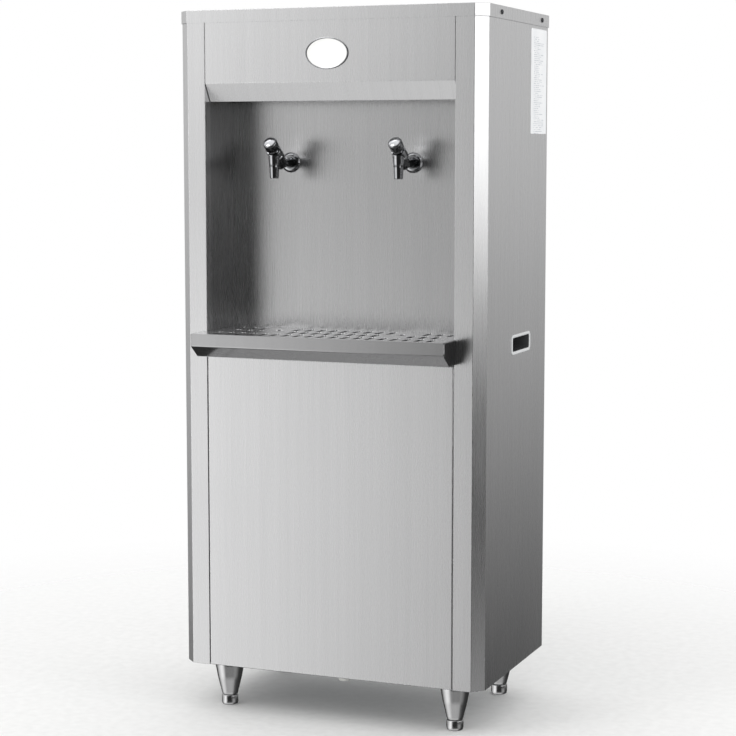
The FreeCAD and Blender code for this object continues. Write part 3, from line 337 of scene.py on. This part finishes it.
# %% Plain metals and mouldings
def finish(name, tone, roughness, metallic=0.0, lump=3.0, depth=0.15, contrast=0.08, wear=0.06):
    """A surface with speckle lumps of a size in millimetres and slow patches of wear."""
    material = bpy.data.materials.new(name)
    material.use_nodes = True
    tree = material.node_tree
    tree.nodes.clear()
    place = add_node(tree, "ShaderNodeTexCoord").outputs["Object"]
    fine = add_node(tree, "ShaderNodeTexNoise", None, Vector=place, Scale=1 / (lump * MM),
                    Detail=4.0).outputs["Fac"]
    patches = add_node(tree, "ShaderNodeTexNoise", None, Vector=place, Scale=12.0,
                       Detail=3.0).outputs["Fac"]
    base = colour(tone)
    dark = tuple(c * (1 - contrast) for c in base[:3]) + (1.0,)
    light = tuple(min(1.0, c * (1 + contrast)) for c in base[:3]) + (1.0,)
    tint = ramp(tree, fine, [(0.3, dark), (0.7, light)])
    polish = span(tree, patches, 0.3, 0.7, max(0.02, roughness - wear), roughness + wear)
    bump = add_node(tree, "ShaderNodeBump", None, Strength=depth, Distance=0.0001, Height=fine)
    body = add_node(tree, "ShaderNodeBsdfPrincipled", None, Base_Color=tint, Metallic=metallic,
                    Roughness=polish, Normal=bump.outputs[0])
    add_node(tree, "ShaderNodeOutputMaterial", None, Surface=body.outputs[0])
    return material


chrome = finish("polished tap chrome with painted reflection", "#e6e7ea", 0.06, 1.0, lump=6, depth=0.02,
                contrast=0.02, wear=0.03)


def paint_dark_reflection_below(material):
    """Painted reflection: the chrome's colour is darkened by which way it faces, darkest facing down, with
    a pale band just below level and a dark one just above, as if low on the taps it mirrored a dark room
    that the pale studio lacks.
    """
    tree = material.node_tree
    body = next(node for node in tree.nodes if node.bl_idname == "ShaderNodeBsdfPrincipled")
    tint = body.inputs["Base Color"].links[0].from_socket
    normal = add_node(tree, "ShaderNodeNewGeometry").outputs["Normal"]
    up = add_node(tree, "ShaderNodeSeparateXYZ", None, Vector=normal).outputs["Z"]
    # Painted reflection: these grey bands by facing multiply the chrome's colour.
    painted_room_reflection = ramp(tree, calculate(tree, "ADD", calculate(tree, "MULTIPLY", up, 0.5), 0.5),
                [(0.30, grey(0.10)), (0.46, grey(0.55)), (0.55, grey(0.16)), (0.80, grey(1.0))])
    shaded = add_node(tree, "ShaderNodeMix", {"data_type": "RGBA", "blend_type": "MULTIPLY"},
                      i0=1.0, i6=tint, i7=painted_room_reflection)
    tree.links.new(shaded.outputs[2], body.inputs["Base Color"])


# Painted reflection: the tap chrome, which the badge rim also wears, is darkened by its facing.
paint_dark_reflection_below(chrome)
finishes = {
    "brushed_stainless": cabinet_steel,
    "alcove_stainless": alcove_steel_painted_shade,
    "tray_stainless": tray_steel,
    "grille_stainless": grille_steel,
    "tank_stainless": tank_steel,
    "leg_stainless": leg_steel,
    "tap_chrome": chrome,
    "galvanised_steel": finish("galvanised sheet with spangle", "#a9adb0", 0.42, 1.0,
                               lump=9, contrast=0.14),
    "screw_steel": finish("dark zinc screw steel", "#5c5d60", 0.35, 1.0, lump=1),
    "nut_brass": finish("machined brass", "#c7a35c", 0.28, 1.0, lump=2),
    "badge_enamel": finish("gloss white enamel", "#f6f6f4", 0.12, lump=4, depth=0.02, contrast=0.01),
    "handle_plastic": finish("grained black moulding", "#46484a", 0.34, lump=0.8, depth=0.4),
    "drain_plastic": finish("natural white pipe plastic", "#dcdcd8", 0.4),
    "control_plastic": finish("black control plastic", "#161617", 0.35, lump=0.8, depth=0.3),
    "foam": finish("skinned insulation foam", "#e2d9b8", 0.9, lump=5, depth=0.8, contrast=0.12),
    "copper": finish("drawn copper tube", "#b8714d", 0.3, 1.0, contrast=0.15),
    "compressor_paint": finish("satin black oven paint", "#0d0d0e", 0.38, lump=1.5, depth=0.3),
    "grommet_rubber": finish("moulded rubber", "#111111", 0.75, lump=1, depth=0.5),
    "fin_aluminium": finish("mill aluminium fin stock", "#b9bcc0", 0.35, 1.0),
}
print("finishes", len(finishes) + 1)

# %% [markdown]
# The label on the side is plain film with generic grey rules on it and no words. Each row's
# number picks how long its rule runs, so the block reads as print from a distance.

# %% Label film
RULE_PITCH = 3.2 * MM


def label_film():
    material = bpy.data.materials.new("printed label film")
    material.use_nodes = True
    tree = material.node_tree
    tree.nodes.clear()
    place = add_node(tree, "ShaderNodeTexCoord").outputs["Object"]
    parts = add_node(tree, "ShaderNodeSeparateXYZ", None, Vector=place)
    start, end = low("rating_label"), high("rating_label")
    across = span(tree, parts.outputs["Y"], start.y, end.y)
    row = calculate(tree, "DIVIDE", parts.outputs["Z"], RULE_PITCH)
    inked = calculate(tree, "LESS_THAN", calculate(tree, "FRACT", row), 0.34)
    length = add_node(tree, "ShaderNodeTexWhiteNoise", {"noise_dimensions": "1D"},
                      W=calculate(tree, "FLOOR", row)).outputs["Value"]
    reach = span(tree, length, 0.0, 1.0, 0.45, 0.92)
    inside = calculate(tree, "MULTIPLY", calculate(tree, "LESS_THAN", across, reach),
                       calculate(tree, "GREATER_THAN", across, 0.08))
    below = calculate(tree, "LESS_THAN", parts.outputs["Z"], end.z - 0.012)
    words = add_node(tree, "ShaderNodeTexNoise", None, Vector=place, Scale=260.0).outputs["Fac"]
    broken = calculate(tree, "MULTIPLY", inked, calculate(tree, "GREATER_THAN", words, 0.46))
    ink = calculate(tree, "MULTIPLY", calculate(tree, "MULTIPLY", broken, inside), below)
    smudge = add_node(tree, "ShaderNodeTexNoise", None, Vector=place, Scale=40.0).outputs["Fac"]
    paper = ramp(tree, smudge, [(0.3, colour("#eceef0")), (0.7, colour("#f4f5f6"))])
    tint = add_node(tree, "ShaderNodeMix", {"data_type": "RGBA"}, i0=ink, i6=paper, i7=colour("#b2b7bd"))
    film = add_node(tree, "ShaderNodeBsdfPrincipled", None, Base_Color=tint.outputs[2],
                    Roughness=span(tree, smudge, 0.3, 0.7, 0.28, 0.4))
    add_node(tree, "ShaderNodeOutputMaterial", None, Surface=film.outputs[0])
    return material


finishes["label_film"] = label_film()

# %% [markdown]
# A folded sheet never has a knife edge: the outside of a fold is round by about the sheet's own
# thickness, and cut rims are deburred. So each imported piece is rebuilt: flat triangles are joined
# into whole faces, long folds get a wide bevel and every other sharp edge a fine one. Then the UV
# map is laid out in metres, with V up the piece, so the grain keeps one size and one direction.
# A mirror-like sheet shows the smallest error in its shading. The planes of the flat walls are
# noted before the bevels, and every face that still lies in one of them keeps its exact normal.

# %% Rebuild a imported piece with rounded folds
FOLD_RADIUS = 2.0 * MM
RIM_RADIUS = 0.35 * MM
BIG_FACE = 100 * MM * MM
SAME_PLANE = 0.15 * MM
SAME_FACING = 0.999
SHARP_ANGLE = math.radians(28)
FLAT_ANGLE = math.radians(0.3)
FOLD_FLANGE = 5 * MM
MERGE_DISTANCE = 1e-6
slot_of = {entry["node"]: entry["material_slot"] for entry in frame["record"]["subparts"]}
body_of = {node: body for body, nodes in frame["record"]["behaviour"]["bodies"].items()
           for node in nodes}


def steep(edge):
    return len(edge.link_faces) == 2 and edge.calc_face_angle(0) > SHARP_ANGLE


def is_fold(edge):
    """True for an outside edge with a flange of some width on both sides."""
    return steep(edge) and edge.is_convex and all(
        face.calc_area() / edge.calc_length() > FOLD_FLANGE for face in edge.link_faces)


def lay_out_uv(bm):
    """U runs level across each face and V up it, both in metres."""
    layer = bm.loops.layers.uv.new("grain")
    for face in bm.faces:
        level = face.normal.cross(Vector((0, 0, 1)))
        flat = level.length < 0.3
        across = Vector((1, 0, 0)) if flat else level.normalized()
        upward = Vector((0, 1, 0)) if flat else Vector((0, 0, 1))
        for loop in face.loops:
            loop[layer].uv = (loop.vert.co.dot(across), loop.vert.co.dot(upward))


def add_piece(name, mesh, nodes):
    """Places a finished mesh in the scene, riding on its nodes' body and standing for them."""
    piece = bpy.data.objects.new(name, mesh)
    scene.collection.objects.link(piece)
    if not mesh.materials:
        mesh.materials.append(finishes[slot_of[nodes[0]]])
    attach(piece, body_of[nodes[0]])
    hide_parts(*nodes)
    return piece


def plane_of(face):
    """A face's normal, and how far its plane lies from the origin."""
    return face.normal.copy(), face.normal.dot(face.verts[0].co)


def wall_planes(bm):
    """The planes of flat walls: large faces, and small ones with a sharp edge all round."""
    return [plane_of(face) for face in bm.faces
            if face.calc_area() > BIG_FACE or all(steep(edge) for edge in face.edges)]


def wall_of(mesh, face, walls):
    """The normal of the wall that a face lies in, or None."""
    for normal, distance in walls:
        if face.normal.dot(normal) > SAME_FACING and all(
                abs(normal.dot(mesh.vertices[index].co) - distance) < SAME_PLANE
                for index in face.vertices):
            return normal
    return None


def set_normals(mesh, walls):
    """Keeps flat walls flat and turns the faces between them smoothly from one to the next."""
    wall_normals = []
    at_wall = {}
    for face in mesh.polygons:
        wall = wall_of(mesh, face, walls)
        wall_normals.append(wall)
        if wall:
            for index in face.vertices:
                at_wall[index] = at_wall.get(index, Vector()) + wall
    normals = []
    for face, wall in zip(mesh.polygons, wall_normals):
        for index in face.vertices:
            shared = at_wall.get(index, mesh.vertices[index].normal).normalized()
            normals.append(wall or (shared if shared.dot(face.normal) > 0 else face.normal.copy()))
    mesh.normals_split_custom_set(normals)


def rebuild(node, fold):
    """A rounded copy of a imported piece, in place of it."""
    source = frame["nodes"][node]
    bm = bmesh.new()
    bm.from_mesh(source.data)
    bm.transform(source.matrix_world)
    bmesh.ops.remove_doubles(bm, verts=bm.verts, dist=MERGE_DISTANCE)
    bmesh.ops.dissolve_limit(bm, angle_limit=FLAT_ANGLE, verts=bm.verts, edges=bm.edges)
    walls = wall_planes(bm)
    folds = [edge for edge in bm.edges if fold and is_fold(edge)]
    if folds:
        bmesh.ops.bevel(bm, geom=folds, offset=fold, segments=4, profile=0.5, affect="EDGES",
                        clamp_overlap=True)
    edges = [edge for edge in bm.edges if steep(edge)]
    bmesh.ops.bevel(bm, geom=edges, offset=RIM_RADIUS, segments=2, profile=0.5, affect="EDGES",
                    clamp_overlap=True)
    bmesh.ops.triangulate(bm, faces=[face for face in bm.faces if len(face.verts) > 4])
    bmesh.ops.dissolve_degenerate(bm, dist=MERGE_DISTANCE, edges=bm.edges)
    lay_out_uv(bm)
    mesh = bpy.data.meshes.new(node + "_finished")
    bm.to_mesh(mesh)
    bm.free()
    mesh.shade_smooth()
    set_normals(mesh, walls)
    print(node, len(folds), "folds", len(mesh.polygons), "faces")
    return add_piece(node + "_finished", mesh, [node])


# %% [markdown]
# Nearly every piece is finished that way in one loop. Turned and moulded ones get only the fine
# bevel, since a sheet's fold radius would eat their small steps. The four left out are the hand
# pockets, the badge and the screws, which have shapes of their own further down.

# %% Cabinet, alcove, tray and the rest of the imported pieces
BUILT_BELOW = {"cabinet_screws", "oval_badge", "left_side_handle", "right_side_handle"}
TURNED = ("leg_", "foot_", "left_tap", "right_tap", "compressor", "float", "thermostat_knob")
for node in frame["nodes"]:
    if node in BUILT_BELOW:
        continue
    rebuild(node, fold=0 if node.startswith(TURNED) else FOLD_RADIUS)

# %% [markdown]
# Each side has a hand pocket: a dark moulded well with a pale rim that laps the steel. Both are
# one closed skin of rounded rectangles. The rings start at the well's back, come forward outside
# it, turn over the rim, and go down the inside to the well's floor.

# %% Hand pockets
CORNER_STEPS = 8
RIM_PROUD = 1.4 * MM
CORNER_RADIUS = 9
INNER_CORNER = 2.5
rim_plastic = finish("pale grey rim moulding", "#d3d5d6", 0.25, lump=0.8)


def rounded_rectangle(half_width, half_height, radius):
    """Points round a rectangle whose corners are arcs."""
    points = []
    for quarter, (side, up) in enumerate(((1, 1), (-1, 1), (-1, -1), (1, -1))):
        for step in range(CORNER_STEPS + 1):
            turn = math.pi / 2 * (quarter + step / CORNER_STEPS)
            points.append((side * (half_width - radius) + radius * math.cos(turn),
                           up * (half_height - radius) + radius * math.sin(turn)))
    return points


def hand_pocket(side):
    """The well and rim of one side, as rings of (inset in millimetres, distance out)."""
    node = f"{side}_side_handle"
    sign = 1 if side == "right" else -1
    start, end = low(node), high(node)
    middle = (start + end) / 2
    width, height = (end.y - start.y) / 2, (end.z - start.z) / 2
    sheet_x = high("right_side_panel").x
    depth = end.x - start.x - RIM_PROUD
    rings = [(5.0, -depth), (5.0, 0.0), (0.0, 0.0), (0.0, 0.7 * MM), (0.35, 1.25 * MM),
             (0.9, RIM_PROUD), (3.6, RIM_PROUD), (4.6, 1.1 * MM), (5.2, 0.2 * MM), (5.6, -1.5 * MM),
             (6.2, 1.2 * MM - depth), (9.0, 2.0 * MM - depth)]
    bm = bmesh.new()
    loops = []
    for inset, out in rings:
        corner = max(CORNER_RADIUS - inset, INNER_CORNER) * MM
        points = rounded_rectangle(width - inset * MM, height - inset * MM, corner)
        loops.append([bm.verts.new((sign * (sheet_x + out), middle.y + across, middle.z + up))
                      for across, up in points])
    count = len(loops[0])
    for index, (first, second) in enumerate(zip(loops, loops[1:])):
        for step in range(count):
            after = (step + 1) % count
            face = bm.faces.new((first[step], first[after], second[after], second[step]))
            face.material_index = 1 if 1 <= index <= 7 else 0
    bm.faces.new(loops[0])
    bm.faces.new(loops[-1])
    bmesh.ops.recalc_face_normals(bm, faces=bm.faces)
    mesh = bpy.data.meshes.new(node + "_finished")
    bm.to_mesh(mesh)
    bm.free()
    mesh.shade_smooth()
    mesh.set_sharp_from_angle(angle=math.radians(50))
    mesh.materials.append(finishes["handle_plastic"])
    mesh.materials.append(rim_plastic)
    print(node, len(mesh.polygons), "faces")
    return add_piece(node + "_finished", mesh, [node])


hand_pocket("left")
hand_pocket("right")

# %% [markdown]
# The badge is pressed metal: a thin bright rim holding a slightly domed enamel face. Rings of
# points, each a scaled ellipse, walk from the back edge over the rim and up to the middle.

# %% Oval badge
BADGE_POINTS = 96


def oval_badge():
    """Rings of (scale, rise as a share of the thickness), from the back edge to the middle."""
    start, end = low("oval_badge"), high("oval_badge")
    middle = (start + end) / 2
    half_x, half_z, thick = (end.x - start.x) / 2, (end.z - start.z) / 2, end.y - start.y
    rings = [(1.0, 0.0), (1.0, 0.7), (0.985, 0.95), (0.955, 1.0), (0.935, 0.8), (0.925, 0.6),
             (0.7, 0.72), (0.35, 0.8)]
    bm = bmesh.new()
    loops = []
    for scale, rise in rings:
        loops.append([bm.verts.new((middle.x + half_x * scale * math.cos(turn),
                                    end.y - thick * rise, middle.z + half_z * scale * math.sin(turn)))
                      for turn in (2 * math.pi * step / BADGE_POINTS for step in range(BADGE_POINTS))])
    for index, (outer, inner) in enumerate(zip(loops, loops[1:])):
        for step in range(BADGE_POINTS):
            after = (step + 1) % BADGE_POINTS
            face = bm.faces.new((outer[step], outer[after], inner[after], inner[step]))
            face.material_index = 0 if index < 5 else 1
    for loop in (loops[0], loops[-1]):
        cap = bm.faces.new(loop)
        cap.material_index = 1
    bmesh.ops.recalc_face_normals(bm, faces=bm.faces)
    mesh = bpy.data.meshes.new("oval_badge_finished")
    bm.to_mesh(mesh)
    bm.free()
    mesh.shade_smooth()
    mesh.set_sharp_from_angle(angle=math.radians(40))
    # The rim's chrome carries the painted reflection set by its facing.
    mesh.materials.append(chrome)
    mesh.materials.append(finishes["badge_enamel"])
    print("badge", len(mesh.polygons), "faces")
    return add_piece("oval_badge_finished", mesh, ["oval_badge"])


oval_badge()

# %% [markdown]
# Twelve alike screws hold the lid and the back. One pan head with a cross recess is modelled
# once, and a Geometry Nodes tree sets a copy on each seat, turned to face along the direction
# stored with it. Each copy also gets its own small turn, as hand-driven screws do.

# %% Screws by Geometry Nodes
HEAD_RISE = 2.2 * MM
HEAD_RADIUS = 4.0 * MM


def screw_head():
    """A domed head with a cross-shaped recess, standing on Z."""
    bm = bmesh.new()
    steps = 32
    rings = [(1.0, 0.0), (1.0, 0.35), (0.93, 0.7), (0.75, 0.92), (0.55, 1.0), (0.5, 1.0)]
    loops = [[bm.verts.new((HEAD_RADIUS * scale * math.cos(2 * math.pi * step / steps),
                            HEAD_RADIUS * scale * math.sin(2 * math.pi * step / steps),
                            HEAD_RISE * rise)) for step in range(steps)] for scale, rise in rings]
    recess = []
    for step in range(steps):
        turn = 2 * math.pi * step / steps
        arm = 0.42 if step % 8 in (0, 1, 7) else 0.16
        recess.append((arm * HEAD_RADIUS * math.cos(turn), arm * HEAD_RADIUS * math.sin(turn)))
    loops.append([bm.verts.new((x, y, HEAD_RISE)) for x, y in recess])
    loops.append([bm.verts.new((x * 0.9, y * 0.9, HEAD_RISE * 0.35)) for x, y in recess])
    for outer, inner in zip(loops, loops[1:]):
        for step in range(steps):
            after = (step + 1) % steps
            bm.faces.new((outer[step], outer[after], inner[after], inner[step]))
    bm.faces.new(loops[0])
    bm.faces.new(loops[-1])
    bmesh.ops.recalc_face_normals(bm, faces=bm.faces)
    mesh = bpy.data.meshes.new("screw_head")
    bm.to_mesh(mesh)
    bm.free()
    mesh.shade_smooth()
    mesh.set_sharp_from_angle(angle=math.radians(35))
    return bpy.data.objects.new("screw_head", mesh)


def screw_seats():
    """Each screw's seat and the way its head faces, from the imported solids."""
    source = frame["nodes"]["cabinet_screws"]
    bm = bmesh.new()
    bm.from_mesh(source.data)
    bm.transform(source.matrix_world)
    bmesh.ops.remove_doubles(bm, verts=bm.verts, dist=MERGE_DISTANCE)
    left = set(bm.verts)
    seats = []
    while left:
        group = set()
        waiting = [next(iter(left))]
        while waiting:
            vert = waiting.pop()
            if vert not in group:
                group.add(vert)
                waiting += [edge.other_vert(vert) for edge in vert.link_edges]
        left -= group
        points = [vert.co for vert in group]
        corner_a = Vector([min(p[axis] for p in points) for axis in range(3)])
        corner_b = Vector([max(p[axis] for p in points) for axis in range(3)])
        size, middle = corner_b - corner_a, (corner_a + corner_b) / 2
        axis = max(range(3), key=lambda step: size[step])
        sign = 1 if axis == 1 or middle[axis] > 0 else -1
        facing = Vector([sign if step == axis else 0 for step in range(3)])
        tip = middle + facing * size[axis] / 2
        seats.append((tip - facing * HEAD_RISE, facing))
    bm.free()
    return seats


def scatter_tree():
    """Copies of one piece on every point, turned to the stored direction, made one mesh."""
    tree = bpy.data.node_groups.new("set screws on seats", "GeometryNodeTree")
    sockets = tree.interface
    sockets.new_socket("Seats", in_out="INPUT", socket_type="NodeSocketGeometry")
    sockets.new_socket("Head", in_out="INPUT", socket_type="NodeSocketObject")
    sockets.new_socket("Finish", in_out="INPUT", socket_type="NodeSocketMaterial")
    sockets.new_socket("Seed", in_out="INPUT", socket_type="NodeSocketInt")
    sockets.new_socket("Screws", in_out="OUTPUT", socket_type="NodeSocketGeometry")
    inputs = add_node(tree, "NodeGroupInput").outputs
    head = add_node(tree, "GeometryNodeObjectInfo", None, Object=inputs["Head"])
    facing = add_node(tree, "GeometryNodeInputNamedAttribute", {"data_type": "FLOAT_VECTOR"},
                      Name="facing")
    turned = add_node(tree, "FunctionNodeAlignRotationToVector", {"axis": "Z"}, Vector=facing.outputs[0])
    turn = add_node(tree, "FunctionNodeRandomValue", {"data_type": "FLOAT"}, Seed=inputs["Seed"])
    own = add_node(tree, "ShaderNodeCombineXYZ", None, Z=calculate(tree, "MULTIPLY", turn.outputs[1], 6.28))
    spin = add_node(tree, "FunctionNodeRotateRotation", {"rotation_space": "LOCAL"},
                    Rotation=turned.outputs[0], Rotate_By=own.outputs[0])
    copies = add_node(tree, "GeometryNodeInstanceOnPoints", None, Points=inputs["Seats"],
                      Instance=head.outputs["Geometry"], Rotation=spin.outputs[0])
    solid = add_node(tree, "GeometryNodeRealizeInstances", None, Geometry=copies.outputs[0])
    painted = add_node(tree, "GeometryNodeSetMaterial", None, Geometry=solid.outputs[0],
                       Material=inputs["Finish"])
    add_node(tree, "NodeGroupOutput", None, i0=painted.outputs[0])
    return tree


def cabinet_screws():
    seats = screw_seats()
    mesh = bpy.data.meshes.new("screw_seats")
    mesh.from_pydata([seat for seat, _ in seats], [], [])
    store = mesh.attributes.new("facing", "FLOAT_VECTOR", "POINT")
    for item, (_, facing) in zip(store.data, seats):
        item.vector = facing
    holder = bpy.data.objects.new("screw_seats", mesh)
    scene.collection.objects.link(holder)
    head = screw_head()
    tree = scatter_tree()
    modifier = holder.modifiers.new("screws", "NODES")
    modifier.node_group = tree
    values = {"Head": head, "Finish": finishes["screw_steel"], "Seed": 4}
    for item in tree.interface.items_tree:
        if item.name in values:
            modifier[item.identifier] = values[item.name]
    graph = bpy.context.evaluated_depsgraph_get()
    finished = bpy.data.meshes.new_from_object(holder.evaluated_get(graph))
    holder.modifiers.remove(modifier)
    bpy.data.objects.remove(holder)
    bpy.data.objects.remove(head)
    print("screws", len(seats), "faces", len(finished.polygons))
    return add_piece("cabinet_screws_finished", finished, ["cabinet_screws"])


cabinet_screws()
